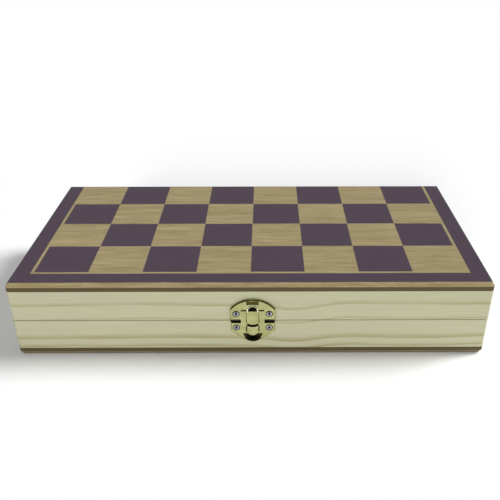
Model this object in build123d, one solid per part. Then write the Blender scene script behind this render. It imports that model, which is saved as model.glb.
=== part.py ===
from build123d import *
import os
from math import acos, atan2, cos, degrees, hypot, radians, sin

# A folding chess box, closed: two shallow wooden trays hinged together at the back. Each tray is faced with
# half of the board, a brass hasp holds the front shut, and the thirty-two chessmen lie in the lower tray.
# Millimetres, +Z up. X runs along the front and Y from the front to the hinges. The origin is under the
# middle of the whole footprint, hasp and hinge barrels included.

# Board
square = 32.8
light_line = 1.8
dark_border = 10.4
print_thickness = 0.2
print_margin = 0.04

# Panels and walls of one half
face_thickness = 2.6
bevel_run = 1.6
core_thickness = 2.9
wall_height = 20.5
wall_thickness = 9.0
front_corner_radius = 2.5
back_corner_radius = 1.0
rim_chamfer = 0.3

# Stamped clasp plates. Widths are half widths, and heights are measured up from the seam.
clasp_offset = 1.2
plate_proud = 1.5
plate_roll = 0.9
sheet = 0.6
upper_plate_half = 13.65
upper_plate_foot = 1.0
upper_plate_shoulder = 8.8
plate_above_hinge = 3.2
lower_plate_half = 13.35
lower_plate_top = -0.4
lower_plate_elbow = -7.2
scoop_height = -8.2
scoop_radius = 6.4
scoop_floor_radius = 3.2
scoop_depth = 1.9
scoop_rim = 0.8

# Tongue on the lower plate that the hasp closes over
tongue_half = 3.6
tongue_shoulder = 6.7
tongue_corner_radius = 0.6
tongue_flat_top = 7.4
tongue_nose_half = 2.65
tongue_front = 1.7
tongue_root_depth = 1.8
nose_drop = 1.2
nose_thinning = 0.2
catch_half = 2.4
catch_top = -2.3
catch_foot = -3.7
catch_depth = 1.1

# Hasp
hasp_half = 7.1
hasp_shoulder = 7.95
hasp_foot = -8.0
neck_half = 3.55
neck_head_half = 3.1
neck_taper_start = 11.4
neck_taper_end = 12.2
neck_bend_radius = 0.5
window_half = 4.1
window_top = 7.0
arch_half = 2.75
arch_spring = 8.6
arch_rim_inset = 0.3
arch_rim_radius = 0.4
arch_rim_sunk = 0.1
bridge_height = 1.2
tab_half = 3.5
tab_foot = -9.5
tab_back = 2.0
tab_front = 2.75
lip_height = -2.3
lip_sag = 1.0
lip_out = 2.55
lip_radius = 0.45
hasp_axis_height = 12.6
ear_radius = 0.4
ear_half = 5.0

# Butt hinges, let into the rims of the back walls
hinge_inset = 55.0
hinge_length = 25.0
leaf_width = 8.0
leaf_thickness = 0.8
barrel_radius = 1.3
pin_radius = 0.6
axis_out = 0.15

# Screws
clasp_screw_spread = 10.0
upper_screw_height = 5.6
lower_screw_height = -4.4
clasp_screw_head = 1.8
clasp_screw_shank = 0.95
clasp_screw_length = 8.0
clasp_screw_dome = 0.35
hinge_screw_spread = 8.0
hinge_screw_reach = 4.8
hinge_screw_head = 1.4
hinge_screw_shank = 0.75
hinge_screw_length = 8.0

# Cross recess of a screw, as shares of the head's radius
recess_reach = 0.68
recess_arm = 0.32
recess_depth = 0.5
recess_pit = 0.5
dome_rise = 0.15

# Chessmen: diameter of the foot, and height
chessman_sizes = {
    "king": (24.0, 62.0),
    "queen": (23.0, 56.0),
    "bishop": (20.0, 48.0),
    "knight": (20.0, 43.0),
    "rook": (20.0, 36.0),
    "pawn": (16.2, 32.0),
}

# Clearances
running_gap = 0.1
pin_gap = 0.03
ear_gap = 0.05
window_gap = 0.25
screw_gap = 0.02
head_gap = 0.3
leaf_gap = 0.05
mortise_gap = 0.15
barrel_gap = 0.25
knuckle_gap = 0.1
resting_gap = 0.1
scoop_gap = 0.1

# How far a cut runs past the face that it opens
beyond = 1.0

# Derived sizes
half_columns = 4
rows = 4
margin = light_line + dark_border + bevel_run
width = 2 * (half_columns * square + margin)
depth = rows * square + margin
floor_height = face_thickness + core_thickness
seam = floor_height + wall_height
front_reach = lip_out + lip_radius
back_reach = axis_out + barrel_radius
front = (front_reach - back_reach - depth) / 2
back = front + depth
middle = (front + back) / 2
axis_y = back + axis_out
seam_plane = Plane(origin=(0, 0, seam))
clasp_plane = Plane(origin=(clasp_offset, front, seam), x_dir=(1, 0, 0), z_dir=(0, -1, 0))
arm_back = plate_proud + running_gap
arm_front = arm_back + sheet
arch_rim_out = arm_front - arch_rim_sunk
hasp_axis_out = ear_radius + ear_gap
upper_plate_top = hasp_axis_height + plate_above_hinge
cavity_depth = plate_proud - sheet
scoop_outer = scoop_radius + scoop_rim


def slab(x, y, z):
    """A block between two limits on each axis."""
    centre = Pos(sum(x) / 2, sum(y) / 2, sum(z) / 2)
    return centre * Box(x[1] - x[0], y[1] - y[0], z[1] - z[0])


def rectangle(x, y):
    """A flat rectangle between two limits on each axis."""
    return Pos(sum(x) / 2, sum(y) / 2) * Rectangle(x[1] - x[0], y[1] - y[0])


def round_corners(face, front_radius, back_radius):
    """Rounds the two front corners and the two back corners of a flat face."""
    ends = face.vertices().sort_by(Axis.Y)
    face = fillet(ends[:2], front_radius)
    ends = face.vertices().sort_by(Axis.Y)
    return fillet(ends[-2:], back_radius)


def plan(inset, front_radius):
    """Plan of one half, drawn in by the inset on every side but the hinge edge."""
    side = width / 2 - inset
    return round_corners(rectangle((-side, side), (front + inset, back)), front_radius, back_corner_radius)


def print_patches(parity):
    """The dark squares and the dark border of one half, as flat solids on its outer face."""
    patches = []
    side = square - 2 * print_margin
    first_y = front + margin
    for row in range(rows):
        for column in range(-half_columns, half_columns):
            if (row + column) % 2 == parity:
                centre = Pos((column + 0.5) * square, first_y + (row + 0.5) * square)
                patches.append(extrude(centre * Rectangle(side, side), print_thickness))
    outer = width / 2 - bevel_run - print_margin
    inner = half_columns * square + light_line + print_margin
    outer_front = front + bevel_run + print_margin
    inner_front = front + margin - light_line - print_margin
    back_edge = back - print_margin
    corner = front_corner_radius - bevel_run
    band = fillet(rectangle((-outer, outer), (outer_front, back_edge)).vertices().sort_by(Axis.Y)[:2], corner)
    band -= rectangle((-inner, inner), (inner_front, back_edge + square))
    patches.append(extrude(band, print_thickness))
    return [solid for patch in patches for solid in patch.solids()]


def face_panel(patches):
    """Facing board, bevelled on three sides, with shallow seats for the dark pattern."""
    outer = plan(bevel_run, front_corner_radius - bevel_run)
    inner = plan(0, front_corner_radius)
    board = loft([outer.face(), Pos(0, 0, face_thickness) * inner.face()], ruled=True)
    return board - patches


def core_panel():
    """Brown hardboard under the facing, flush with the walls."""
    return Pos(0, 0, face_thickness) * extrude(plan(0, front_corner_radius), core_thickness)


def walls():
    """The four mitred strips of one half, as a dictionary."""
    side = width / 2
    inner_side = side - wall_thickness
    inner_front = front + wall_thickness
    inner_back = back - wall_thickness
    ring = plan(0, front_corner_radius) - rectangle((-inner_side, inner_side), (inner_front, inner_back))
    frame = Pos(0, 0, floor_height) * extrude(ring, wall_height)
    rim = frame.faces().sort_by(Axis.Z)[-1]
    frame = chamfer(rim.outer_wire().edges(), rim_chamfer)
    outer_corners = [(-side, front), (side, front), (side, back), (-side, back)]
    inner_corners = [
        (-inner_side, inner_front),
        (inner_side, inner_front),
        (inner_side, inner_back),
        (-inner_side, inner_back),
    ]
    strips = {}
    for i, name in enumerate(["front", "right", "back", "left"]):
        j = (i + 1) % 4
        mitre = Polyline(outer_corners[i], outer_corners[j], inner_corners[j], inner_corners[i], close=True)
        wedge = extrude(make_face(mitre), seam)
        strips[name] = frame & wedge
    return strips


def screw(head, shank, length, dome):
    """A cross-head screw pointing down, with the rim of its countersunk head at height zero."""
    taper = head - shank
    tip = 2 * shank
    top = SagittaArc((head, 0), (0, dome), -dome_rise * dome) if dome else Line((head, 0), (0, 0))
    side = Polyline((0, dome), (0, -length), (shank, tip - length), (shank, -taper), (head, 0))
    solid = revolve(Plane.XZ * make_face([top, side]), Axis.Z)
    reach = recess_reach * head
    arm = recess_arm * head / 2
    depth = (dome - recess_depth * head, dome + beyond)
    for turn in (0, 90):
        solid -= Rot(0, 0, turn) * slab((-reach, reach), (-arm, arm), depth)
    pit = recess_pit * head
    return solid - Pos(0, 0, dome - pit / 2) * Cone(arm, pit, pit)


def screw_hole(head, shank, length, gap):
    """What a screw takes out of the pieces that it passes through."""
    taper = head - shank
    wide = Pos(0, 0, -taper / 2) * Cone(shank + screw_gap, head + gap, taper)
    mouth = Pos(0, 0, taper / 2) * Cylinder(head + gap, taper)
    bore = Pos(0, 0, -length / 2) * Cylinder(shank + screw_gap, length + 2 * screw_gap)
    return wide + mouth + bore


def clasp_screw_places(height):
    """Where a clasp plate's two screws stand, in the clasp's own frame."""
    return [Pos(side * clasp_screw_spread, height, plate_proud) for side in (-1, 1)]


def clasp_screws(height):
    one = screw(clasp_screw_head, clasp_screw_shank, clasp_screw_length, clasp_screw_dome)
    return [clasp_plane * place * one for place in clasp_screw_places(height)]


def clasp_screw_holes(height):
    one = screw_hole(clasp_screw_head, clasp_screw_shank, clasp_screw_length, head_gap)
    return [place * one for place in clasp_screw_places(height)]


def stamped_plate(outline, height):
    """A dished plate with rolled edges, hollow behind but for the two screw seats."""
    plate = extrude(outline, plate_proud)
    plate = fillet(plate.faces().sort_by(Axis.Z)[-1].edges(), plate_roll)
    hollow = extrude(offset(outline, -sheet), cavity_depth)
    for place in clasp_screw_places(height):
        seat_radius = clasp_screw_head + sheet
        hollow -= Pos(place.position.X, place.position.Y, cavity_depth / 2) * Cylinder(seat_radius, plate_proud)
    return plate - hollow


def upper_plate():
    """Arched plate on the lid, cut out for the tongue and slotted for the neck of the hasp."""
    half = upper_plate_half
    sides = Polyline(
        (-half, upper_plate_shoulder),
        (-half, upper_plate_foot),
        (half, upper_plate_foot),
        (half, upper_plate_shoulder),
    )
    arch = ThreePointArc((half, upper_plate_shoulder), (0, upper_plate_top), (-half, upper_plate_shoulder))
    plate = stamped_plate(make_face([sides, arch]), upper_screw_height)
    through = (-beyond, plate_proud + beyond)
    wide = tongue_half + window_gap
    narrow = tongue_nose_half + window_gap
    nose_centre = tongue_flat_top + window_gap
    plate -= slab((-wide, wide), (upper_plate_foot - beyond, tongue_shoulder + window_gap), through)
    plate -= slab((-narrow, narrow), (tongue_shoulder, nose_centre), through)
    plate -= Pos(0, nose_centre, plate_proud / 2) * Cylinder(narrow, 2 * plate_proud)
    slot = neck_half + 2 * running_gap
    slot_foot = hasp_axis_height - sheet / 2 - running_gap
    slot_top = hasp_axis_height + arch_rim_out + arch_rim_radius - hasp_axis_out + running_gap
    plate -= slab((-slot, slot), (slot_foot, slot_top), through)
    for hole in clasp_screw_holes(upper_screw_height):
        plate -= hole
    return clasp_plane * plate


def lower_plate_outline():
    """Square shoulders, drawn in along two tangents to a round foot under the thumb scoop."""
    half = lower_plate_half
    reach = hypot(half, lower_plate_elbow - scoop_height)
    angle = atan2(lower_plate_elbow - scoop_height, half) - acos(scoop_outer / reach)
    touch_x = scoop_outer * cos(angle)
    touch_y = scoop_height + scoop_outer * sin(angle)
    sides = Polyline(
        (touch_x, touch_y),
        (half, lower_plate_elbow),
        (half, lower_plate_top),
        (-half, lower_plate_top),
        (-half, lower_plate_elbow),
        (-touch_x, touch_y),
    )
    round_foot = ThreePointArc((-touch_x, touch_y), (0, scoop_height - scoop_outer), (touch_x, touch_y))
    return make_face([sides, round_foot])


def tongue():
    """The bill of the lower plate: flat over the seam, with a nose that slopes back to the lid."""
    root = lower_plate_top - tongue_root_depth
    nose_top = tongue_flat_top + tongue_nose_half
    back_face = tongue_front - sheet
    profile = Polyline(
        (root, back_face),
        (root, tongue_front),
        (tongue_flat_top, tongue_front),
        (nose_top, tongue_front - nose_drop),
        (nose_top, back_face - nose_drop + nose_thinning),
        (tongue_flat_top, back_face),
        close=True,
    )
    half = tongue_half
    bar = Pos(-half, 0, 0) * extrude(Plane.YZ * make_face(profile), 2 * half)
    outline = rectangle((-half, half), (root, tongue_shoulder))
    outline = fillet(outline.vertices().sort_by(Axis.Y)[-2:], tongue_corner_radius)
    outline += rectangle((-tongue_nose_half, tongue_nose_half), (root, tongue_flat_top))
    outline += Pos(0, tongue_flat_top) * Circle(tongue_nose_half)
    return bar & extrude(outline, tongue_front + beyond)


def scoop_shell(gap):
    """The round boss behind the thumb scoop. With a gap, it is what the boss takes out of the wall."""
    foot = plate_proud - scoop_depth - sheet
    rim = scoop_radius + scoop_rim / 2
    floor_radius = scoop_floor_radius + sheet
    flare = (rim - floor_radius) / (plate_proud - foot)
    mouth = floor_radius + flare * (cavity_depth - foot)
    depth = cavity_depth - foot + gap
    centre = cavity_depth - depth / 2
    return Pos(0, scoop_height, centre) * Cone(floor_radius + gap, mouth + gap, depth)


def lower_plate():
    """Plate on the base, with its tongue, the catch under it and the round thumb scoop."""
    plate = stamped_plate(lower_plate_outline(), lower_screw_height)
    plate += scoop_shell(0)
    plate += tongue()
    pocket = Polyline(
        (catch_foot, tongue_front),
        (catch_top, tongue_front - catch_depth),
        (catch_top, tongue_front + beyond),
        (catch_foot, tongue_front + beyond),
        close=True,
    )
    plate -= Pos(-catch_half, 0, 0) * extrude(Plane.YZ * make_face(pocket), 2 * catch_half)
    scoop = Cone(scoop_floor_radius, scoop_radius, scoop_depth)
    plate -= Pos(0, scoop_height, plate_proud - scoop_depth / 2) * scoop
    for hole in clasp_screw_holes(lower_screw_height):
        plate -= hole
    return clasp_plane * plate


def hasp_frame():
    """Side bars and neck of the hasp, cut from one flat sheet, with the neck bent back to the hinge."""
    head = hasp_axis_height + sheet / 2
    outline = make_face(
        Polyline(
            (-hasp_half, hasp_foot),
            (hasp_half, hasp_foot),
            (hasp_half, hasp_shoulder),
            (neck_half, hasp_shoulder),
            (neck_half, neck_taper_start),
            (neck_head_half, neck_taper_end),
            (neck_head_half, head),
            (-neck_head_half, head),
            (-neck_head_half, neck_taper_end),
            (-neck_half, neck_taper_start),
            (-neck_half, hasp_shoulder),
            (-hasp_half, hasp_shoulder),
            close=True,
        )
    )
    window_foot = hasp_foot + bridge_height
    outline -= rectangle((-window_half, window_half), (window_foot, window_top))
    outline -= rectangle((-arch_half, arch_half), (window_foot, arch_spring))
    outline -= Pos(0, arch_spring) * Circle(arch_half)
    frame = Pos(0, 0, arm_back) * extrude(outline, sheet)
    neck = slab(
        (-neck_head_half, neck_head_half),
        (head - sheet, head),
        (hasp_axis_out, arm_front),
    )
    frame += neck
    bend = frame.edges().filter_by(Axis.X).sort_by(lambda edge: edge.center().Y + edge.center().Z)[-1]
    frame = fillet(bend, neck_bend_radius)
    return frame + Pos(0, hasp_axis_height, hasp_axis_out) * Rot(0, 90, 0) * Cylinder(ear_radius, 2 * ear_half)


def hasp_tab():
    """Finger tab in front of the bridge between the bars, standing out far enough to pass the tongue."""
    outline = rectangle((-tab_half, tab_half), (tab_foot + tab_half, lip_height))
    outline += Pos(0, tab_foot + tab_half) * Circle(tab_half)
    outline -= Pos(0, lip_height + lip_circle() - lip_sag) * Circle(lip_circle())
    tab = Pos(0, 0, tab_back) * extrude(outline, tab_front - tab_back)
    return chamfer(tab.faces().sort_by(Axis.Z)[-1].edges(), lip_radius / 2)


def lip_circle():
    """Radius of the curve that the lip of the tab follows."""
    return (tab_half**2 + lip_sag**2) / (2 * lip_sag)


def lip_bead():
    """The round bead along the hollow upper edge of the tab, with ball ends."""
    half = tab_half - lip_radius
    centre = lip_height + lip_circle() - lip_sag
    side = centre - (lip_circle() ** 2 - half**2) ** 0.5
    path = ThreePointArc((-half, side, lip_out), (0, centre - lip_circle(), lip_out), (half, side, lip_out))
    start = Plane(origin=path @ 0, z_dir=path % 0)
    solid = sweep(start * Circle(lip_radius), path)
    for end in (path @ 0, path @ 1):
        solid += Pos(end) * Sphere(lip_radius)
    return solid


def arch_bead():
    """The raised rim round the top of the window: half a ring with short straight legs and ball ends."""
    radius = arch_half + arch_rim_inset
    reach = radius + 2 * arch_rim_radius
    rim = Torus(radius, arch_rim_radius) & slab((-reach, reach), (0, reach), (-reach, reach))
    leg = arch_spring - window_top - arch_rim_radius
    for side in (-radius, radius):
        rim += Pos(side, -leg / 2) * Rot(90, 0, 0) * Cylinder(arch_rim_radius, leg)
        rim += Pos(side, -leg) * Sphere(arch_rim_radius)
    return Pos(0, arch_spring, arch_rim_out) * rim


def hasp():
    """The swinging hasp: bars, neck and finger tab, with the beads round its window and on its lip."""
    return clasp_plane * (hasp_frame() + hasp_tab() + arch_bead() + lip_bead())


def hinge_screw_places(x):
    """Where a leaf's two screws stand on the rim of the base."""
    y = axis_y - hinge_screw_reach
    return [Pos(x + side * hinge_screw_spread, y, seam - leaf_gap) for side in (-1, 1)]


def hinge_screws(x):
    one = screw(hinge_screw_head, hinge_screw_shank, hinge_screw_length, 0)
    return [place * one for place in hinge_screw_places(x)]


def hinge_screw_holes(x):
    one = screw_hole(hinge_screw_head, hinge_screw_shank, hinge_screw_length, screw_gap)
    return [place * one for place in hinge_screw_places(x)]


def knuckle_spans(x, outer):
    """Ranges along X of the two outer knuckles, or of the middle one."""
    third = hinge_length / 3
    gap = knuckle_gap / 2
    start = x - hinge_length / 2
    if outer:
        return [(start, start + third - gap), (start + 2 * third + gap, start + hinge_length)]
    return [(start + third + gap, start + 2 * third - gap)]


def barrel(span, radius):
    """A cylinder on the hinge axis."""
    centre = Pos(sum(span) / 2, axis_y, seam)
    return centre * Rot(0, 90, 0) * Cylinder(radius, span[1] - span[0])


def leaf(x, outer):
    """One leaf on the rim of the base. The lid's leaf is the mirror image of one with a middle knuckle."""
    span = (x - hinge_length / 2, x + hinge_length / 2)
    level = (seam - leaf_gap - leaf_thickness, seam - leaf_gap)
    clear = axis_y - barrel_radius - barrel_gap
    blank = slab(span, (axis_y - leaf_width, clear), level)
    for hole in hinge_screw_holes(x):
        blank -= hole
    for part_span in knuckle_spans(x, outer):
        blank += slab(part_span, (clear, axis_y - (pin_radius + barrel_radius) / 2), level)
        blank += barrel(part_span, barrel_radius)
    return blank - barrel(span, pin_radius + pin_gap)


def hinge_pin(x):
    return barrel((x - hinge_length / 2, x + hinge_length / 2), pin_radius)


def mortise(x):
    """What one hinge takes out of a back wall."""
    reach = hinge_length / 2 + mortise_gap
    span = (x - reach, x + reach)
    bed = slab(
        span,
        (axis_y - leaf_width - mortise_gap, back + beyond),
        (seam - leaf_gap - leaf_thickness, seam + beyond),
    )
    cut = bed + barrel(span, barrel_radius + barrel_gap)
    for hole in hinge_screw_holes(x):
        cut += hole
    return cut


def tray(parity, screw_height, side):
    """One half in the base's position, as a dictionary. Side is -1 for the base and 1 for the lid."""
    patches = print_patches(parity)
    pieces = {"face": face_panel(patches), "core": core_panel(), "print": patches}
    strips = walls()
    for x in hinge_places:
        strips["back"] -= mortise(x)
    for hole in clasp_screw_holes(-side * screw_height):
        strips["front"] -= clasp_plane * hole
    if side < 0:
        strips["front"] -= clasp_plane * scoop_shell(scoop_gap)
    for name, strip in strips.items():
        pieces[name + "_wall"] = strip
    return pieces


def cap(start, top):
    """An arc from a point on the outline to the top of the axis, of a ball that sits on the axis."""
    x, y = start
    centre = (top**2 - y**2 - x**2) / (2 * (top - y))
    ball = top - centre
    half_way = (atan2(y - centre, x) + radians(90)) / 2
    return ThreePointArc(start, (ball * cos(half_way), centre + ball * sin(half_way)), (0, top))


def turned(radius, height, outline):
    """A turned piece. Each step is a radius and a height, as shares of the foot's radius and of the whole
    height, and sometimes a hollow, as a share of the foot's radius. A bulge is a negative hollow. A last
    step that ends on the axis with "ball" is part of a ball."""
    edges = []
    start = (0, 0)
    for step in outline:
        end = (step[0] * radius, step[1] * height)
        if len(step) == 2:
            edges.append(Line(start, end))
        elif step[2] == "ball":
            edges.append(cap(start, end[1]))
        else:
            edges.append(SagittaArc(start, end, step[2] * radius))
        start = end
    edges.append(Line(start, (0, 0)))
    return revolve(Plane.XZ * make_face(edges), Axis.Z)


def foot(rise):
    """Steps of the turned foot that all the chessmen share. Rise is its height as a share of the whole."""
    return [
        (0.94, 0),
        (1.0, 0.12 * rise),
        (1.0, 0.36 * rise),
        (0.82, 0.66 * rise, -0.06),
        (0.74, 0.68 * rise),
        (0.72, 0.98 * rise, -0.06),
        (0.62, rise),
    ]


def pawn(radius, height):
    steps = foot(0.24) + [(0.30, 0.60, 0.05), (0.52, 0.63), (0.52, 0.67), (0.30, 0.70), (0, 1.0, "ball")]
    return turned(radius, height, steps)


def rook(radius, height):
    steps = foot(0.22) + [(0.46, 0.62, 0.03), (0.60, 0.66), (0.60, 0.71), (0.50, 0.72), (0.72, 0.80, 0.03)]
    steps += [(0.72, 1.0), (0.50, 1.0), (0.50, 0.88), (0, 0.88)]
    tower = turned(radius, height, steps)
    notch = slab((-radius, radius), (-0.08 * radius, 0.08 * radius), (0.92 * height, 1.1 * height))
    for turn in (0, 60, 120):
        tower -= Rot(0, 0, turn) * notch
    return tower


def bishop(radius, height):
    steps = foot(0.20) + [(0.27, 0.60, 0.07), (0.52, 0.63), (0.52, 0.655), (0.34, 0.67), (0.40, 0.69)]
    steps += [(0.30, 0.715), (0.10, 0.925, -0.20), (0, 1.0, "ball")]
    mitre = turned(radius, height, steps)
    cut = Pos(0.42 * radius, 0, 0.86 * height) * Rot(0, 35, 0) * Box(0.9 * radius, radius, 0.08 * radius)
    return mitre - cut


def queen(radius, height):
    steps = foot(0.18) + [(0.27, 0.63, 0.08), (0.52, 0.655), (0.52, 0.68), (0.36, 0.69), (0.42, 0.71)]
    steps += [(0.30, 0.73), (0.56, 0.90, 0.05), (0.48, 0.92), (0.20, 0.945, -0.03), (0.09, 0.945)]
    steps += [(0, 1.0, "ball")]
    crown = turned(radius, height, steps)
    scallop = Pos(0.62 * radius, 0, 0.93 * height) * Rot(0, 60, 0) * Cylinder(0.12 * radius, radius)
    for turn in range(0, 360, 45):
        crown -= Rot(0, 0, turn) * scallop
    return crown


def king(radius, height):
    steps = foot(0.17) + [(0.29, 0.62, 0.08), (0.56, 0.645), (0.56, 0.67), (0.38, 0.68), (0.44, 0.70)]
    steps += [(0.32, 0.72), (0.52, 0.86, 0.03), (0.42, 0.885, -0.03), (0.10, 0.91, -0.05), (0, 0.91)]
    crown = turned(radius, height, steps)
    arm = 0.085 * radius
    reach = 0.22 * radius
    crown += slab((-arm, arm), (-arm, arm), (0.90 * height, height))
    crown += slab((-reach, reach), (-arm, arm), (0.945 * height, 0.97 * height))
    return crown


def knight(radius, height):
    """A turned foot under a horse's head, sawn from a flat blank, with its edges cut back."""
    base = turned(radius, height, foot(0.24) + [(0.62, 0.27), (0, 0.27)])
    steps = [
        (0.59, 0.335, 0),
        (0.29, 0.586, -0.09),
        (0.62, 0.567, 0.04),
        (0.88, 0.602, -0.02),
        (0.93, 0.681, -0.07),
        (0.46, 0.851, 0.05),
        (0.37, 0.893, 0),
        (0.25, 1.0, 0),
        (0.07, 0.916, 0.02),
        (-0.62, 0.628, -0.22),
        (-0.58, 0.26, -0.06),
        (0.55, 0.26, 0),
    ]
    edges = []
    start = (0.55 * radius, 0.26 * height)
    for x, z, hollow in steps:
        end = (x * radius, z * height)
        edges.append(SagittaArc(start, end, hollow * radius) if hollow else Line(start, end))
        start = end
    blank = Plane.XZ * make_face(edges)
    flat = 0.31 * radius
    cheek = Pos(0, -flat, 0) * extrude(blank, 0.11 * radius, taper=40)
    head = extrude(blank, flat, both=True) + cheek + mirror(cheek, Plane.XZ)
    head -= slab((-0.2 * radius, 0.6 * radius), (-0.07 * radius, 0.07 * radius), (0.92 * height, 1.1 * height))
    return base + head


makers = {"king": king, "queen": queen, "bishop": bishop, "knight": knight, "rook": rook, "pawn": pawn}
resting_rings = {
    "king": (0.56, 0.67),
    "queen": (0.56, 0.90),
    "bishop": (0.42, 0.80),
    "knight": (0.40, 0.90),
    "rook": (0.72, 1.0),
    "pawn": (0.63, 0.84),
}


def laid_down(kind):
    """A chessman on its side, its foot towards -Y, tilted until both foot and head touch the floor."""
    diameter, height = chessman_sizes[kind]
    radius = diameter / 2
    ring_radius, ring_height = resting_rings[kind]
    rim_height = 0.05 * height
    tilt = degrees(atan2(radius - ring_radius * radius, ring_height * height - rim_height))
    return Rot(-90 - tilt, 0, 0) * makers[kind](radius, height)


def drop_at(solid, x, y):
    """Rests a solid on the floor of the lower tray, with its box starting at the given corner."""
    box = solid.bounding_box()
    return Pos(x - box.min.X, y - box.min.Y, floor_height + resting_gap - box.min.Z) * solid


def lay_row(row, y, turn):
    """Lays chessmen side by side across the tray with equal gaps, every second one the other way round."""
    solids = []
    for i, (colour, kind, number) in enumerate(row):
        name = f"{colour}_{kind}{number}"
        solids.append((name, Rot(0, 0, turn + 180 * (i % 2)) * laid_down(kind)))
    inner_width = width - 2 * wall_thickness
    lengths = [solid.bounding_box().size.X for _, solid in solids]
    gap = (inner_width - sum(lengths)) / (len(solids) + 1)
    x = gap - inner_width / 2
    placed = {}
    for (name, solid), length in zip(solids, lengths):
        placed[name] = drop_at(solid, x, y)
        x += length + gap
    return placed


def chessmen():
    """Three rows in the lower tray: kings and queens in front, then the pieces, then the pawns."""
    colours = ("light", "dark")
    royal = [(colour, kind, "") for colour in colours for kind in ("king", "queen")]
    pieces = [
        (colour, kind, f"_{n}") for colour in colours for kind in ("bishop", "knight", "rook") for n in (1, 2)
    ]
    pawns = [(colour, "pawn", f"_{n}") for colour in colours for n in range(1, 9)]
    inner_depth = depth - 2 * wall_thickness
    row_depths = [
        laid_down("king").bounding_box().size.X,
        laid_down("bishop").bounding_box().size.Y,
        laid_down("pawn").bounding_box().size.Y,
    ]
    gap = (inner_depth - sum(row_depths)) / (len(row_depths) + 1)
    y = front + wall_thickness + gap
    placed = {}
    for row, turn, row_depth in zip((royal, pieces, pawns), (90, 0, 0), row_depths):
        placed.update(lay_row(row, y, turn))
        y += row_depth + gap
    return placed


hinge_places = (hinge_inset - width / 2, width / 2 - hinge_inset)


def model():
    """Every node, by name."""
    nodes = {}
    for name, piece in tray(1, lower_screw_height, -1).items():
        nodes["base_" + name] = piece
    for name, piece in tray(0, upper_screw_height, 1).items():
        group = piece if isinstance(piece, list) else [piece]
        nodes["lid_" + name] = [mirror(solid, seam_plane) for solid in group]
    nodes["clasp_upper_plate"] = upper_plate()
    nodes["clasp_lower_plate"] = lower_plate()
    nodes["clasp_hasp"] = hasp()
    nodes["clasp_upper_screws"] = clasp_screws(upper_screw_height)
    nodes["clasp_lower_screws"] = clasp_screws(lower_screw_height)
    base_screws = []
    for side, x in zip(("left", "right"), hinge_places):
        nodes[side + "_hinge_base_leaf"] = leaf(x, True)
        nodes[side + "_hinge_lid_leaf"] = mirror(leaf(x, False), seam_plane)
        nodes[side + "_hinge_pin"] = hinge_pin(x)
        base_screws += hinge_screws(x)
    nodes["base_hinge_screws"] = base_screws
    nodes["lid_hinge_screws"] = [mirror(solid, seam_plane) for solid in base_screws]
    nodes.update(chessmen())
    return nodes


os.makedirs("parts", exist_ok=True)
for node_name, shape in model().items():
    group = shape if isinstance(shape, list) else [shape]
    export_step(Compound([solid for piece in group for solid in piece.solids()]), f"parts/{node_name}.step")
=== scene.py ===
import math

import bpy
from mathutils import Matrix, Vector


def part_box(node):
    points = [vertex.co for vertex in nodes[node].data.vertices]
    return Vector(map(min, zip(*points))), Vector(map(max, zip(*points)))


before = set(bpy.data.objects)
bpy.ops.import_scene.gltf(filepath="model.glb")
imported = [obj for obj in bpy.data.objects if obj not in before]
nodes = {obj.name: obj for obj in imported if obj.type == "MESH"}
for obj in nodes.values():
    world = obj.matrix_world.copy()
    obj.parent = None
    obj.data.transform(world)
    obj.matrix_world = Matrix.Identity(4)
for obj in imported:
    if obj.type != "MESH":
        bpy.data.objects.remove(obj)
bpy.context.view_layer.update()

MM = 0.001

# Camera: where the photograph was taken from. The picture is 500 pixels square. It sees from CLIP_NEAR to
# CLIP_FAR, in metres.
CAMERA_PLACE = Vector((9.9, -390.5, 249.2)) * MM
CAMERA_PITCH = 0.5212
CAMERA_YAW = -0.0046
FOCAL_PIXELS = 637.7
AXIS_PIXEL = (269.5, 262.8)
PICTURE_SIDE = 500
SENSOR = 36.0
CLIP_NEAR = 0.01
CLIP_FAR = 20

# Light: a dome, a main lamp on the right, and a low lamp in front.
# Each lamp is its strength, its elevation, its azimuth and its spread, with the angles in degrees.
DOME_STRENGTH = 0.22
MAIN_LAMP = (3.12, 38.0, 103.0, 22.0)
LOW_LAMP = (1.67, 17.0, -12.0, 15.0)

# Floor: half its side is in metres, and its lift is the glow that only the camera and mirrors see
FLOOR_COLOUR = (0.965, 0.97, 0.98, 1)
FLOOR_LIFT = 0.042
FLOOR_HALF = 4.0
WHITE = (1, 1, 1, 1)

# What metal and varnish mirror: the floor near the clasp, a low backdrop, a ceiling lamp and a dark room.
# The floor fades out between two distances in millimetres, and reaches further along the box. The pairs say
# where the backdrop and the lamp come in or fade out, as the share of a direction that points back or up.
GLOSS_NEAR = 90.0
GLOSS_FAR = 160.0
GLOSS_WIDTH = 2.0
ROOM_GLOSS = 0.012
BACKDROP_GLOSS = 0.22
BACKDROP_BACK = (0.2, 0.6)
BACKDROP_TOP = (0.45, 0.75)
CEILING_GLOSS = 4.5
CEILING_UP = (0.90, 0.94)
CEILING_BACK = (0.0, 0.12)

# The middle values of a noise, which nearly all of it lies between
NOISE_WINDOW = (0.3, 0.7)


def srgb(red, green, blue):
    """A colour given as the picture shows it, 0 to 255, in the linear values that shaders use."""
    def linear(value):
        share = value / 255
        return share / 12.92 if share <= 0.04045 else ((share + 0.055) / 1.055) ** 2.4
    return (linear(red), linear(green), linear(blue), 1.0)


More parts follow.
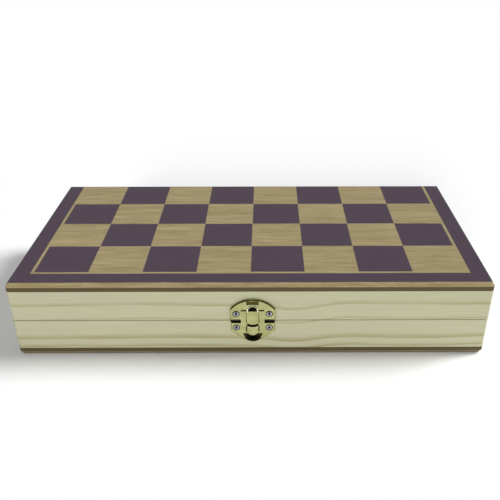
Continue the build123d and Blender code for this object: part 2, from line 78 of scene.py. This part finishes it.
class Nodes:
    """Adds nodes to one tree and links them. An input is a number, a colour or another node's socket."""

    def __init__(self, tree):
        self.tree = tree
        tree.nodes.clear()

    def add(self, kind, inputs=None, **settings):
        node = self.tree.nodes.new("ShaderNode" + kind)
        for name, value in settings.items():
            setattr(node, name, value)
        for name, value in (inputs or {}).items():
            self.feed(node.inputs[name], value)
        return node

    def feed(self, socket, value):
        if isinstance(value, bpy.types.NodeSocket):
            self.tree.links.new(value, socket)
        else:
            socket.default_value = value

    def math(self, operation, *values):
        return self.add("Math", dict(enumerate(values)), operation=operation).outputs[0]

    def times(self, a, b):
        return self.math("MULTIPLY", a, b)

    def plus(self, a, b):
        return self.math("ADD", a, b)

    def minus(self, a, b):
        return self.math("SUBTRACT", a, b)

    def magnitude(self, value):
        """A value without its sign."""
        return self.math("ABSOLUTE", value)

    def hypotenuse(self, a, b):
        """The length of a step with two parts at right angles."""
        return self.math("SQRT", self.plus(self.times(a, a), self.times(b, b)))

    def largest(self, first, *others):
        for value in others:
            first = self.math("MAXIMUM", first, value)
        return first

    def blend(self, a, b, share):
        """A share of the second value and the rest of the first."""
        return self.plus(self.times(a, 1 - share), self.times(b, share))

    def vector(self, x, y, z):
        return self.add("CombineXYZ", {0: x, 1: y, 2: z}).outputs[0]

    def place(self):
        """Coordinates on the object in millimetres."""
        split = self.add("SeparateXYZ", {0: self.add("TexCoord").outputs["Object"]})
        return [self.times(axis, 1 / MM) for axis in split.outputs]

    def distance(self, place, centre):
        """Distance from the line along Y that passes through a centre, given as its X and Z."""
        return self.hypotenuse(self.minus(place[0], centre[0]), self.minus(place[2], centre[1]))

    def nearest(self, place, centres):
        """Distance from the nearest of several such lines."""
        nearest = self.distance(place, centres[0])
        for centre in centres[1:]:
            nearest = self.math("MINIMUM", nearest, self.distance(place, centre))
        return nearest

    def noise(self, vector, detail=2.0, roughness=0.5):
        inputs = {"Vector": vector, "Scale": 1.0, "Detail": detail, "Roughness": roughness}
        return self.add("TexNoise", inputs).outputs[0]

    def streaks(self, place, lengths, seed=0.0, detail=2.0, roughness=0.5):
        """Noise with its own length in millimetres along each axis."""
        scaled = [self.times(axis, 1 / length) for axis, length in zip(place, lengths)]
        scaled[0] = self.plus(scaled[0], seed)
        return self.noise(self.vector(*scaled), detail, roughness)

    def swing(self, noise, rise):
        """A noise that goes up and down about nothing, with its full height given."""
        return self.times(self.plus(noise, -0.5), rise)

    def remap(self, value, low, high, to_low=0.0, to_high=1.0, smooth=False):
        inputs = {"Value": value, "From Min": low, "From Max": high, "To Min": to_low, "To Max": to_high}
        kind = "SMOOTHSTEP" if smooth else "LINEAR"
        return self.add("MapRange", inputs, interpolation_type=kind).outputs[0]

    def falls(self, value, low, high, smooth=False):
        """1 up to the low value and 0 from the high one."""
        return self.remap(value, low, high, 1.0, 0.0, smooth)

    def spread(self, noise, to_low=0.0, to_high=1.0, window=NOISE_WINDOW):
        """A window of a noise's values, stretched over a range."""
        return self.remap(noise, *window, to_low, to_high)

    def mix(self, share, a, b, kind="MIX"):
        node = self.add("Mix", data_type="RGBA", blend_type=kind)
        for socket, value in zip((node.inputs[0], node.inputs[6], node.inputs[7]), (share, a, b)):
            self.feed(socket, value)
        return node.outputs[2]

    def shaded(self, colour, shade):
        """A colour made lighter or darker by a factor."""
        return self.mix(1.0, colour, shade, "MULTIPLY")

    def bump(self, height, depth):
        """Relief with its depth in millimetres."""
        return self.add("Bump", {"Height": height, "Distance": depth * MM, "Strength": 1.0}).outputs[0]

    def surface(self, **inputs):
        """The material's shader. Inputs have the shader's own names, with underscores for spaces."""
        shader = self.add("BsdfPrincipled")
        for name, value in inputs.items():
            self.feed(shader.inputs[name.replace("_", " ")], value)
        output = self.add("OutputMaterial")
        self.tree.links.new(shader.outputs[0], output.inputs[0])


def new_material(name):
    material = bpy.data.materials.new(name)
    material.use_nodes = True
    return material, Nodes(material.node_tree)


def millimetres(name):
    """A node's lowest and highest corners in millimetres."""
    return [[value / MM for value in corner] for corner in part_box(name)]


# Places that the painted shade and the painted highlight follow, in millimetres: the outer face of the
# front wall, the seam between the trays, and the clasp's middle and bottom
FRONT_FACE = millimetres("lid_front_wall")[0][1]
SEAM = millimetres("lid_front_wall")[0][2]
CLASP_MIDDLE = [sum(ends) / 2 / MM for ends in zip(*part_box("clasp_lower_plate"))]
CLASP_BOTTOM = millimetres("clasp_lower_plate")[0][2]

# Clasp, in millimetres. Heads and recesses are radii, widths are half widths, heights are measured up from
# the seam, the scoop rises from the lower plate's bottom, and what is proud stands out from the front wall.
SCREW_HEAD = 1.8
SCREW_RECESS = 0.9
SCOOP_RADIUS = 6.4
SCOOP_RISE = 7.2
PLATE_PROUD = 1.5
TONGUE_PROUD = 1.7
HASP_PROUD = 2.2
TAB_PROUD = 2.75
CATCH_HALF = 2.5
CATCH_HEIGHTS = (-3.8, -2.2)
ARCH_HEIGHT = 6.5
GAP_HALF = 13.6
GAP_HEIGHTS = (-0.4, 1.0)
SLOT_HALF = 3.8
SLOT_HEIGHTS = (12.2, 14.9)
WINDOW_EDGE = 0.2
# Colour and share of the painted shade and painted dark reflection in the clasp's hollows, used on the brass
# and on the pine behind the clasp
CLASP_SHADE = srgb(34, 29, 14)
CLASP_SHADE_SHARE = 0.92

# In the sections below, the lengths of streaks and the depth of relief are in millimetres, and a roughness is
# given for the low and the high end of the noise that it follows.

# Pine strips: growth rings seen as long wavy lines, soft above and sharp below. Each ring is its height, the
# reach of its soft side and its strength. Each wave is its place along the strip, its reach and its rise.
FRONT_RINGS = [(47.0, 2.5, 0.2), (36.4, 3.2, 0.8), (26.2, 1.8, 0.8), (12.2, 4.4, 1.0), (6.2, 2.6, 1.0)]
PLAIN_RINGS = [(46.5, 5.0, 0.5), (37.0, 3.0, 0.8), (25.5, 6.0, 0.6), (15.0, 3.5, 1.0), (6.0, 4.0, 0.6)]
FRONT_WAVES = [(26.0, 17.0, -2.8), (61.0, 16.0, 1.1), (135.0, 60.0, 1.4), (-60.0, 30.0, 0.4)]
RING_EDGE = 0.4
RING_TILT = 0.06
RING_WEAKEST = 0.6
RING_FADE_LENGTH = 55
RING_FADE_STEP = 7.3

# Streaks in the pine, with their lengths along, across and up the strip
PINE_DRIFT = dict(lengths=(70, 40, 60), detail=1.0)
PINE_DRIFT_RISE = 3.4
PINE_RIPPLE = dict(lengths=(9, 6, 5))
PINE_RIPPLE_RISE = 0.7
PINE_FIBRES = dict(lengths=(34, 5, 0.9), detail=4.0, roughness=0.6)
PINE_FIBRE_WINDOW = (0.25, 0.75)
PINE_FIBRE_SHADES = (0.93, 1.055)
PINE_CLOUDS = dict(lengths=(60, 30, 9))
PINE_CLOUD_SEED = 5
PINE_CLOUD_SHADES = (0.975, 1.02)
PINE_FLECKS = dict(lengths=(5.5, 1.2, 0.32), detail=1.0)
PINE_FLECK_SEED = 9
PINE_FLECK_WINDOW = (0.70, 0.80)
PINE_FLECK_SHARE = 0.55
FIBRE_RELIEF = 0.6
RING_RELIEF = 0.5
PINE_DEPTH = 0.03
PINE_ROUGHNESS = (0.50, 0.40)
PINE_COAT = dict(Coat_Weight=0.12, Coat_Roughness=0.28)

# Colours of the pine, darker along the seam too, and with painted shade in the slot over the hasp's neck
EARLY_WOOD = srgb(184, 182, 150)
LATE_WOOD = srgb(158, 149, 103)
FLECK_WOOD = srgb(152, 142, 100)
SEAM_WOOD = srgb(112, 100, 56)
SEAM_REACH = 0.4
SEAM_FULL = SEAM_REACH / 3
SEAM_SHARE = 0.8
SLOT_SHADE_COLOUR = srgb(122, 112, 46)
SLOT_SHADE_SHARE = 0.92


def ring_waves(n, along, waves):
    """How far the rings rise or sink along the strip: a sum of smooth bumps."""
    total = 0.0
    for centre, reach, rise in waves:
        step = n.times(n.minus(along, centre), 1 / reach)
        bell = n.math("EXPONENT", n.times(n.times(step, step), -1.0))
        total = n.plus(n.times(bell, rise), total)
    return total


def late_wood(n, along, height, rings, seed):
    """How much of a place is late wood, from 0 to 1."""
    late = 0.0
    for number, (level, reach, strength) in enumerate(rings):
        band = n.times(n.falls(height, level, level + reach, smooth=True),
                       n.remap(height, level - RING_EDGE, level))
        fade = n.noise(n.vector(n.times(along, 1 / RING_FADE_LENGTH), number * RING_FADE_STEP, seed), 1.0)
        late = n.largest(n.times(band, n.spread(fade, RING_WEAKEST * strength, strength)), late)
    return late


def clasp_window(n, place, half, heights):
    """Where shade is painted on the wood that shows through the clasp: 1 inside a window of a half width and
    two heights.
    """
    reach = (heights[1] - heights[0]) / 2
    aside = n.magnitude(n.minus(place[0], CLASP_MIDDLE[0]))
    above = n.magnitude(n.minus(place[2], SEAM + heights[0] + reach))
    return n.times(n.falls(aside, half, half + WINDOW_EDGE), n.falls(above, reach, reach + WINDOW_EDGE))


def pine(side, seed, rings=PLAIN_RINGS, waves=()):
    """The wood of both strips on one side of the box."""
    material, n = new_material("pine_" + side)
    place = n.place()
    along_axis = 0 if side in ("front", "back") else 1
    outer_end = 0 if side in ("front", "left") else 1
    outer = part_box(f"lid_{side}_wall")[outer_end][1 - along_axis] / MM
    along, across, up = place[along_axis], n.minus(place[1 - along_axis], outer), place[2]
    strip = (along, across, up)

    drift = n.swing(n.streaks(strip, seed=seed, **PINE_DRIFT), PINE_DRIFT_RISE)
    ripple = n.swing(n.streaks(strip, seed=seed, **PINE_RIPPLE), PINE_RIPPLE_RISE)
    height = n.plus(n.plus(up, n.times(across, RING_TILT)), n.plus(drift, ripple))
    if waves:
        height = n.minus(height, ring_waves(n, along, waves))
    late = late_wood(n, along, height, rings, seed)
    colour = n.mix(late, EARLY_WOOD, LATE_WOOD)

    fibres = n.streaks(strip, seed=seed, **PINE_FIBRES)
    clouds = n.streaks(strip, seed=seed + PINE_CLOUD_SEED, **PINE_CLOUDS)
    flecks = n.streaks(strip, seed=seed + PINE_FLECK_SEED, **PINE_FLECKS)
    shade = n.times(n.spread(fibres, *PINE_FIBRE_SHADES, PINE_FIBRE_WINDOW),
                    n.spread(clouds, *PINE_CLOUD_SHADES))
    colour = n.shaded(colour, shade)
    colour = n.mix(n.spread(flecks, 0.0, PINE_FLECK_SHARE, PINE_FLECK_WINDOW), colour, FLECK_WOOD)

    # Darker along the seam between the trays
    from_seam = n.magnitude(n.minus(up, SEAM))
    skin = n.falls(n.magnitude(across), SEAM_FULL, SEAM_REACH)
    seam_band = n.times(n.falls(from_seam, SEAM_FULL, SEAM_REACH), skin)
    colour = n.mix(n.times(seam_band, SEAM_SHARE), colour, SEAM_WOOD)
    if side == "front":
        # Painted shade in the gap between the clasp's plates
        gap_shade = n.times(clasp_window(n, place, GAP_HALF, GAP_HEIGHTS), skin)
        colour = n.mix(n.times(gap_shade, CLASP_SHADE_SHARE), colour, CLASP_SHADE)
        # Painted shade in the slot over the hasp's neck
        slot = n.times(clasp_window(n, place, SLOT_HALF, SLOT_HEIGHTS), skin)
        colour = n.mix(n.times(slot, SLOT_SHADE_SHARE), colour, SLOT_SHADE_COLOUR)

    relief = n.plus(n.times(fibres, FIBRE_RELIEF), n.times(late, RING_RELIEF))
    n.surface(Base_Color=colour, Roughness=n.spread(fibres, *PINE_ROUGHNESS),
              Normal=n.bump(relief, PINE_DEPTH), **PINE_COAT)
    return material


# Facing board: beech veneer with fine streaks and short pores along the box. Its front bevels have painted
# shade, and the one under the box a darker painted contact shadow.
BEECH_LIGHT = srgb(180, 164, 124)
BEECH_DARK = srgb(145, 129, 90)
BEECH_WARP = dict(lengths=(45, 22, 30), seed=3.0, detail=1.0)
BEECH_WARP_RISE = 6.0
BEECH_BROAD = dict(lengths=(90, 5.0, 6.0), seed=1.0)
BEECH_FINE = dict(lengths=(22, 1.1, 1.3), seed=2.0, detail=4.0, roughness=0.62)
BEECH_FINE_SHARE = 0.7
BEECH_WINDOW = (0.38, 0.62)
PORES = dict(lengths=(3.2, 0.26, 0.4), seed=7.0, detail=1.0)
PORE_COLOUR = srgb(122, 104, 68)
PORE_WINDOW = (0.62, 0.76)
PORE_SHARE = 0.6
BEECH_FINE_RELIEF = 0.5
BEECH_DEPTH = 0.02
BEECH_ROUGHNESS = (0.46, 0.36)
BEECH_COAT = dict(Coat_Weight=0.15, Coat_Roughness=0.25)
BEVEL_REACH = 1.7
BEVEL_SHADE = 0.91
BEVEL_EDGE = 0.2
FOOT_SHADE_COLOUR = srgb(98, 84, 58)
FOOT_SHADE_SHARE = 0.8
FOOT_HEIGHT = 2.2
FOOT_REACH = 2.2
FOOT_EDGE = 0.2


def beech():
    material, n = new_material("beech")
    place = n.place()
    warp = n.swing(n.streaks(place, **BEECH_WARP), BEECH_WARP_RISE)
    waved = [place[0], n.plus(place[1], warp), place[2]]
    fine = n.streaks(waved, **BEECH_FINE)
    tone = n.blend(n.streaks(waved, **BEECH_BROAD), fine, BEECH_FINE_SHARE)
    colour = n.mix(n.spread(tone, window=BEECH_WINDOW), BEECH_DARK, BEECH_LIGHT)
    pores = n.spread(n.streaks(waved, **PORES), 0.0, PORE_SHARE, PORE_WINDOW)
    colour = n.mix(pores, colour, PORE_COLOUR)

    # Painted contact shadow on the bevel under the box, and painted shade on the front bevels
    from_front = n.minus(place[1], millimetres("base_face")[0][1])
    foot_shade = n.times(n.falls(place[2], FOOT_HEIGHT - FOOT_EDGE, FOOT_HEIGHT),
                   n.falls(from_front, FOOT_REACH - FOOT_EDGE, FOOT_REACH))
    colour = n.mix(n.times(foot_shade, FOOT_SHADE_SHARE), colour, FOOT_SHADE_COLOUR)
    colour = n.shaded(colour, n.remap(from_front, BEVEL_REACH - BEVEL_EDGE, BEVEL_REACH, BEVEL_SHADE, 1.0))

    relief = n.minus(n.times(fine, BEECH_FINE_RELIEF), pores)
    n.surface(Base_Color=colour, Roughness=n.spread(fine, *BEECH_ROUGHNESS),
              Normal=n.bump(relief, BEECH_DEPTH), **BEECH_COAT)
    return material


# Printed dark squares and border: a flat matt coat over the same grain
PRINT_COLOUR = srgb(72, 59, 72)
PRINT_WORN = srgb(82, 69, 80)
PRINT_GRAIN = dict(lengths=(22, 1.1, 1.3), seed=2.0, detail=3.0)
PRINT_SPECKLE = dict(lengths=(0.5, 0.5, 0.5), seed=4.0)
PRINT_SPECKLE_SHARE = 0.3
PRINT_WINDOW = (0.35, 0.7)
PRINT_DEPTH = 0.008
PRINT_ROUGHNESS = (0.46, 0.54)
PRINT_COAT = dict(Coat_Weight=0.05, Coat_Roughness=0.3)


def dark_print():
    material, n = new_material("dark_print")
    place = n.place()
    grain = n.streaks(place, **PRINT_GRAIN)
    speckle = n.streaks(place, **PRINT_SPECKLE)
    tone = n.blend(grain, speckle, PRINT_SPECKLE_SHARE)
    colour = n.mix(n.spread(tone, window=PRINT_WINDOW), PRINT_COLOUR, PRINT_WORN)
    n.surface(Base_Color=colour, Roughness=n.spread(speckle, *PRINT_ROUGHNESS),
              Normal=n.bump(grain, PRINT_DEPTH), **PRINT_COAT)
    return material


# Brown hardboard: pressed fibre, dark at its sawn edge
BOARD_DARK = srgb(70, 60, 37)
BOARD_LIGHT = srgb(100, 88, 58)
BOARD_FIBRE = dict(lengths=(1.6, 1.6, 0.35), seed=1.0, detail=4.0, roughness=0.65)
BOARD_GRIT = dict(lengths=(0.35, 0.35, 0.35), seed=2.0)
BOARD_GRIT_SHARE = 0.35
BOARD_DEPTH = 0.06
BOARD_ROUGHNESS = (0.7, 0.85)


def hardboard():
    material, n = new_material("hardboard")
    place = n.place()
    grit = n.streaks(place, **BOARD_GRIT)
    tone = n.blend(n.streaks(place, **BOARD_FIBRE), grit, BOARD_GRIT_SHARE)
    n.surface(Base_Color=n.mix(n.spread(tone), BOARD_DARK, BOARD_LIGHT),
              Roughness=n.spread(grit, *BOARD_ROUGHNESS), Normal=n.bump(tone, BOARD_DEPTH))
    return material


def clasp_screw_centres():
    """X and Z of the clasp's four screws."""
    centres = []
    for name in ("clasp_upper_screws", "clasp_lower_screws"):
        low, high = millimetres(name)
        level = (low[2] + high[2]) / 2
        centres += [(low[0] + SCREW_HEAD, level), (high[0] - SCREW_HEAD, level)]
    return centres


# Brass-plated stampings, with painted shade and painted dark reflection in the thumb scoop, in the catch, on
# the lower plate's top edge and round the screws. The hasp's beads get a painted highlight. The pairs say
# where a mask begins and where it ends, as a step from the size of the clasp that it follows.
BRASS_COLOUR = srgb(184, 186, 131)
BRASS_DULL = srgb(167, 166, 112)
BRASS_HIGHLIGHT = srgb(252, 248, 206)
BRASS_STAIN = dict(lengths=(5, 5, 5), seed=1.0, detail=3.0)
BRASS_STAIN_WINDOW = (0.35, 0.7)
BRASS_ROLLING = dict(lengths=(6, 0.6, 0.16), seed=2.0)
BRASS_ROLLING_SHARE = 0.4
BRASS_ROLLING_RELIEF = 0.03
BRASS_WAVE = dict(lengths=(4.5, 4.5, 4.5), seed=5.0, detail=1.0)
BRASS_DEPTH = 0.05
BRASS_ROUGHNESS = (0.13, 0.24)
# Roughness added where shade is painted on the brass
CLASP_SHADE_ROUGHNESS = 0.2
SOFT_EDGE = 0.1
SCOOP_DEPTHS = (0.1, 0.4)
CATCH_DEPTHS = (0.1, 0.3)
BEAD_HEIGHTS = (0.02, 0.1)
SCREW_RING = (0.3, 0.55)
TOP_EDGE = (-0.5, -0.3)
PLATE_SLACK = 0.05


def painted_clasp_shade(n, place):
    """How much shade and dark reflection is painted on the brass of the clasp at a place, from 0 to 1."""
    depth = n.minus(place[1], FRONT_FACE)
    from_scoop = n.distance(place, (CLASP_MIDDLE[0], CLASP_BOTTOM + SCOOP_RISE))
    scoop = n.times(n.falls(from_scoop, SCOOP_RADIUS - SOFT_EDGE, SCOOP_RADIUS + SOFT_EDGE),
                    n.remap(depth, *[reach - PLATE_PROUD for reach in SCOOP_DEPTHS]))

    aside = n.magnitude(n.minus(place[0], CLASP_MIDDLE[0]))
    above = n.magnitude(n.minus(place[2], SEAM + sum(CATCH_HEIGHTS) / 2))
    catch_reach = (CATCH_HEIGHTS[1] - CATCH_HEIGHTS[0]) / 2
    catch = n.times(n.math("LESS_THAN", aside, CATCH_HALF), n.math("LESS_THAN", above, catch_reach))
    catch = n.times(catch, n.remap(depth, *[reach - TONGUE_PROUD for reach in CATCH_DEPTHS]))

    top = SEAM + GAP_HEIGHTS[0]
    edge = n.times(n.remap(place[2], *[top + height for height in TOP_EDGE]),
                   n.math("LESS_THAN", place[2], top + SOFT_EDGE))
    edge = n.times(edge, n.math("LESS_THAN", n.magnitude(depth), PLATE_PROUD + PLATE_SLACK))

    from_screw = n.nearest(place, clasp_screw_centres())
    ring = n.falls(from_screw, *[SCREW_HEAD + reach for reach in SCREW_RING])
    return n.largest(ring, edge, scoop, catch)


def painted_highlight(n, place):
    """How much highlight is painted on the brass of the clasp: 1 on the beads of the arch and of the tab's
    lip.
    """
    proud = n.minus(FRONT_FACE, place[1])
    arch = n.times(n.remap(proud, *[HASP_PROUD + height for height in BEAD_HEIGHTS]),
                   n.math("GREATER_THAN", place[2], SEAM + ARCH_HEIGHT))
    return n.largest(arch, n.remap(proud, *[TAB_PROUD + height for height in BEAD_HEIGHTS]))


def brass():
    material, n = new_material("brass")
    place = n.place()
    stain = n.streaks(place, **BRASS_STAIN)
    rolling = n.streaks(place, **BRASS_ROLLING)
    wave = n.streaks(place, **BRASS_WAVE)
    dark = painted_clasp_shade(n, place)
    colour = n.mix(n.spread(stain, window=BRASS_STAIN_WINDOW), BRASS_COLOUR, BRASS_DULL)
    # Painted highlight on the beads of the arch and of the tab's lip
    colour = n.mix(painted_highlight(n, place), colour, BRASS_HIGHLIGHT)
    # Painted shade and painted dark reflection in the scoop, the catch, on the lower plate's top edge and
    # round the screws
    colour = n.mix(n.times(dark, CLASP_SHADE_SHARE), colour, CLASP_SHADE)
    rough = n.spread(n.blend(stain, rolling, BRASS_ROLLING_SHARE), *BRASS_ROUGHNESS)
    rough = n.plus(rough, n.times(dark, CLASP_SHADE_ROUGHNESS))
    relief = n.plus(wave, n.times(rolling, BRASS_ROLLING_RELIEF))
    n.surface(Base_Color=colour, Metallic=1.0, Roughness=rough, Normal=n.bump(relief, BRASS_DEPTH))
    return material


# Plated screws. Those of the clasp have painted shade in the cross recess and at the edge of the head.
STEEL_COLOUR = srgb(226, 223, 228)
STEEL_DULL = srgb(196, 192, 198)
STEEL_STAIN = dict(lengths=(0.9, 0.9, 0.9), seed=1.0, detail=3.0)
STEEL_WINDOW = (0.35, 0.7)
STEEL_DEPTH = 0.02
STEEL_ROUGHNESS = (0.24, 0.36)
SCREW_SHADE = srgb(30, 26, 40)
SCREW_SHADE_SHARE = 0.92
RECESS_EDGE = (-0.15, 0.15)
HEAD_EDGE = (-0.25, -0.05)


def screw_steel(name, centres=()):
    """The steel of screws, with painted shade round the centres that are given."""
    material, n = new_material(name)
    place = n.place()
    stain = n.streaks(place, **STEEL_STAIN)
    colour = n.mix(n.spread(stain, window=STEEL_WINDOW), STEEL_COLOUR, STEEL_DULL)
    if centres:
        from_axis = n.nearest(place, centres)
        recess = n.falls(from_axis, *[SCREW_RECESS + reach for reach in RECESS_EDGE])
        edge = n.remap(from_axis, *[SCREW_HEAD + reach for reach in HEAD_EDGE])
        # Painted shade in the cross recess and at the head's edge
        colour = n.mix(n.times(n.largest(recess, edge), SCREW_SHADE_SHARE), colour, SCREW_SHADE)
    n.surface(Base_Color=colour, Metallic=1.0, Roughness=n.spread(stain, *STEEL_ROUGHNESS),
              Normal=n.bump(stain, STEEL_DEPTH))
    return material


# Chessmen: varnished wood with its grain along Y, as most of the men lie
MEN_WARP = dict(lengths=(24, 12, 12), detail=1.0)
MEN_WARP_RISE = 3.0
MEN_GRAIN = dict(lengths=(26, 1.6, 1.6), detail=3.0, roughness=0.6)
MEN_FINE = dict(lengths=(7, 0.35, 0.35))
MEN_FINE_SEED = 3
MEN_FINE_SHARE = 0.3
MEN_WINDOW = (0.32, 0.68)
MEN_DEPTH = 0.012
MEN_ROUGHNESS = (0.36, 0.28)
MEN_COAT = dict(Coat_Weight=0.3, Coat_Roughness=0.18)
LIGHT_MEN = dict(pale=srgb(214, 184, 132), deep=srgb(186, 150, 98), seed=3.0)
DARK_MEN = dict(pale=srgb(84, 52, 36), deep=srgb(52, 30, 22), seed=8.0)


def turned_wood(name, pale, deep, seed):
    material, n = new_material(name)
    x, y, z = n.place()
    warp = n.swing(n.streaks((y, x, z), seed=seed, **MEN_WARP), MEN_WARP_RISE)
    waved = (y, n.plus(x, warp), n.plus(z, warp))
    fine = n.streaks(waved, seed=seed + MEN_FINE_SEED, **MEN_FINE)
    tone = n.blend(n.streaks(waved, seed=seed, **MEN_GRAIN), fine, MEN_FINE_SHARE)
    colour = n.mix(n.spread(tone, window=MEN_WINDOW), deep, pale)
    n.surface(Base_Color=colour, Roughness=n.spread(fine, *MEN_ROUGHNESS),
              Normal=n.bump(fine, MEN_DEPTH), **MEN_COAT)
    return material


def dress(material, *names):
    """Gives a material to the pieces that are named."""
    for name in names:
        piece = nodes[name]
        if not piece.material_slots:
            piece.data.materials.append(material)
        for slot in piece.material_slots:
            slot.material = material


def ending(*endings):
    return [name for name in nodes if name.endswith(endings)]


def starting(start):
    return [name for name in nodes if name.startswith(start)]


dress(beech(), "base_face", "lid_face")
dress(dark_print(), "base_print", "lid_print")
dress(hardboard(), "base_core", "lid_core")
dress(pine("front", 0.0, FRONT_RINGS, FRONT_WAVES), "base_front_wall", "lid_front_wall")
dress(pine("back", 31.0), "base_back_wall", "lid_back_wall")
dress(pine("left", 57.0), "base_left_wall", "lid_left_wall")
dress(pine("right", 83.0), "base_right_wall", "lid_right_wall")
dress(brass(), "clasp_upper_plate", "clasp_lower_plate", "clasp_hasp", *ending("_leaf", "_pin"))
dress(screw_steel("clasp_steel", clasp_screw_centres()), "clasp_upper_screws", "clasp_lower_screws")
dress(screw_steel("hinge_steel"), "base_hinge_screws", "lid_hinge_screws")
dress(turned_wood("light_wood", **LIGHT_MEN), *starting("light_"))
dress(turned_wood("dark_wood", **DARK_MEN), *starting("dark_"))


def floor():
    """A pale floor, white wherever the camera sees it unshaded. Metal sees it near the box only."""
    bpy.ops.mesh.primitive_plane_add(size=2 * FLOOR_HALF)
    plane = bpy.context.object
    plane.name = "floor"
    material, n = new_material("floor")
    plane.data.materials.append(material)
    paths = n.add("LightPath").outputs
    seen = n.largest(paths["Is Camera Ray"], paths["Is Glossy Ray"], paths["Is Transmission Ray"])
    x, y = n.place()[:2]
    across = n.times(n.minus(x, CLASP_MIDDLE[0]), 1 / GLOSS_WIDTH)
    distance = n.hypotenuse(across, n.minus(y, CLASP_MIDDLE[1]))
    hidden = n.times(paths["Is Glossy Ray"], n.remap(distance, GLOSS_NEAR, GLOSS_FAR, smooth=True))
    colour = n.mix(hidden, FLOOR_COLOUR, (ROOM_GLOSS, ROOM_GLOSS, ROOM_GLOSS, 1))
    lift = n.times(n.times(seen, FLOOR_LIFT), n.minus(1.0, hidden))
    diffuse = n.add("BsdfDiffuse", {"Color": colour})
    glow = n.add("Emission", {"Color": WHITE, "Strength": lift})
    total = n.add("AddShader", {0: diffuse.outputs[0], 1: glow.outputs[0]})
    output = n.add("OutputMaterial")
    n.tree.links.new(total.outputs[0], output.inputs[0])


def surroundings():
    """White to the camera. Metal sees a pale backdrop low behind the box, a lamp overhead and a dark room."""
    world = bpy.data.worlds.new("surroundings")
    bpy.context.scene.world = world
    world.use_nodes = True
    n = Nodes(world.node_tree)
    paths = n.add("LightPath").outputs
    direction = n.add("SeparateXYZ", {0: n.add("TexCoord").outputs["Generated"]}).outputs
    backwards, upwards = direction[1], direction[2]
    backdrop = n.times(n.remap(backwards, *BACKDROP_BACK, smooth=True),
                       n.falls(upwards, *BACKDROP_TOP, smooth=True))
    backdrop = n.remap(backdrop, 0.0, 1.0, ROOM_GLOSS, BACKDROP_GLOSS)
    ceiling = n.times(n.remap(upwards, *CEILING_UP, 0.0, CEILING_GLOSS, smooth=True),
                      n.remap(backwards, *CEILING_BACK, smooth=True))
    room = n.plus(backdrop, ceiling)
    strength = n.plus(n.times(paths["Is Glossy Ray"], n.minus(room, DOME_STRENGTH)), DOME_STRENGTH)
    strength = n.plus(strength, n.times(paths["Is Camera Ray"], 1.0 - DOME_STRENGTH))
    back = n.add("Background", {"Color": WHITE, "Strength": strength})
    output = n.add("OutputWorld")
    n.tree.links.new(back.outputs[0], output.inputs[0])


def lamp(name, strength, elevation, azimuth, spread):
    """A soft far lamp. Azimuth 0 is in front of the box and 90 to its right. Metal doesn't mirror it."""
    data = bpy.data.lights.new(name, "SUN")
    data.energy = strength
    data.angle = math.radians(spread)
    light = bpy.data.objects.new(name, data)
    bpy.context.scene.collection.objects.link(light)
    across, up = math.radians(azimuth), math.radians(elevation)
    source = Vector((math.sin(across) * math.cos(up), -math.cos(across) * math.cos(up), math.sin(up)))
    light.rotation_euler = source.to_track_quat("Z", "Y").to_euler()
    light.visible_glossy = False


def camera():
    data = bpy.data.cameras.new("camera")
    data.sensor_width = SENSOR
    data.lens = FOCAL_PIXELS * SENSOR / PICTURE_SIDE
    data.shift_x = 0.5 - AXIS_PIXEL[0] / PICTURE_SIDE
    data.shift_y = AXIS_PIXEL[1] / PICTURE_SIDE - 0.5
    data.clip_start = CLIP_NEAR
    data.clip_end = CLIP_FAR
    piece = bpy.data.objects.new("camera", data)
    bpy.context.scene.collection.objects.link(piece)
    piece.location = CAMERA_PLACE
    piece.rotation_euler = (math.pi / 2 - CAMERA_PITCH, 0, CAMERA_YAW)
    bpy.context.scene.camera = piece


floor()
surroundings()
lamp("main_lamp", *MAIN_LAMP)
lamp("low_lamp", *LOW_LAMP)
camera()
bpy.context.scene.view_settings.view_transform = "Standard"
